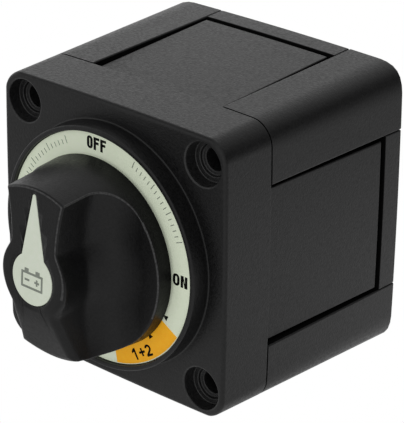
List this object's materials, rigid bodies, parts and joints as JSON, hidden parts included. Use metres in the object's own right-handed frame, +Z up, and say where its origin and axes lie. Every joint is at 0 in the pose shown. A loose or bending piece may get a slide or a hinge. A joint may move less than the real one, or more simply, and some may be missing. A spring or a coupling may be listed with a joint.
{
  "type": "battery switch",
  "caption": "Rotary marine battery switch: square housing with raised dial, grip knob with pointer, terminal studs under an isolating rear cover with slide-out side plates.",
  "frame": {"origin": "centre of the rear mounting face", "axes": "+Z up, the dial faces -Y, +X to the right of someone facing the dial; the knob turns about the Y axis"},
  "size_m": [0.0734, 0.0878, 0.0734],
  "materials": {
    "black_plastic": "fine matte texture",
    "knob_plastic": "satin",
    "dial_label": "matte print film, pale green-cream with black print and an amber sector",
    "pointer": "matte, pale green-cream",
    "base_plastic": "matte, glass-filled",
    "rubber_seal": "matte",
    "tinned_copper": "tin-plated",
    "contact_metal": "bright copper",
    "stainless": "satin",
    "screw_steel": "zinc-plated",
    "spring_steel": "bright"
  },
  "bodies": {
    "housing": {"front_housing": "black_plastic", "label_ring": "dial_label", "terminal_base": "base_plastic", "base_gasket": "rubber_seal", "terminal_stud_1": "tinned_copper", "terminal_stud_2": "tinned_copper", "terminal_stud_3": "tinned_copper", "terminal_stud_4": "tinned_copper", "flat_washer_1": "stainless", "flat_washer_2": "stainless", "flat_washer_3": "stainless", "flat_washer_4": "stainless", "lock_washer_1": "stainless", "lock_washer_2": "stainless", "lock_washer_3": "stainless", "lock_washer_4": "stainless", "stud_nut_1": "stainless", "stud_nut_2": "stainless", "stud_nut_3": "stainless", "stud_nut_4": "stainless", "base_screw_1": "screw_steel", "base_screw_2": "screw_steel", "base_screw_3": "screw_steel", "base_screw_4": "screw_steel"},
    "knob_and_rotor": {"knob": "knob_plastic", "knob_pointer": "pointer", "knob_screw": "screw_steel", "rotor": "base_plastic", "shaft_seal": "rubber_seal", "contact_bar_1": "contact_metal", "contact_bar_2": "contact_metal", "contact_spring_1": "spring_steel", "contact_spring_2": "spring_steel", "detent_ball_1": "spring_steel", "detent_ball_2": "spring_steel", "detent_spring_1": "spring_steel", "detent_spring_2": "spring_steel"},
    "cover": {"rear_cover": "black_plastic"},
    "plate_top": {"side_plate_top": "black_plastic"},
    "plate_right": {"side_plate_right": "black_plastic"},
    "plate_bottom": {"side_plate_bottom": "black_plastic"},
    "plate_left": {"side_plate_left": "black_plastic"}
  },
  "joints": [
    {"name": "knob_turn", "type": "hinge", "parent": "housing", "child": "knob_and_rotor", "pos_m": [0, -0.0615, 0], "axis": [0, 1, 0], "range_deg": [0, 145]},
    {"name": "cover_pull_off", "type": "slide", "parent": "housing", "child": "cover", "axis": [0, 1, 0], "range_m": [0, 0.05]},
    {"name": "plate_top_slide_out", "type": "slide", "parent": "cover", "child": "plate_top", "axis": [0, 1, 0], "range_m": [0, 0.05]},
    {"name": "plate_right_slide_out", "type": "slide", "parent": "cover", "child": "plate_right", "axis": [0, 1, 0], "range_m": [0, 0.05]},
    {"name": "plate_bottom_slide_out", "type": "slide", "parent": "cover", "child": "plate_bottom", "axis": [0, 1, 0], "range_m": [0, 0.05]},
    {"name": "plate_left_slide_out", "type": "slide", "parent": "cover", "child": "plate_left", "axis": [0, 1, 0], "range_m": [0, 0.05]}
  ]
}
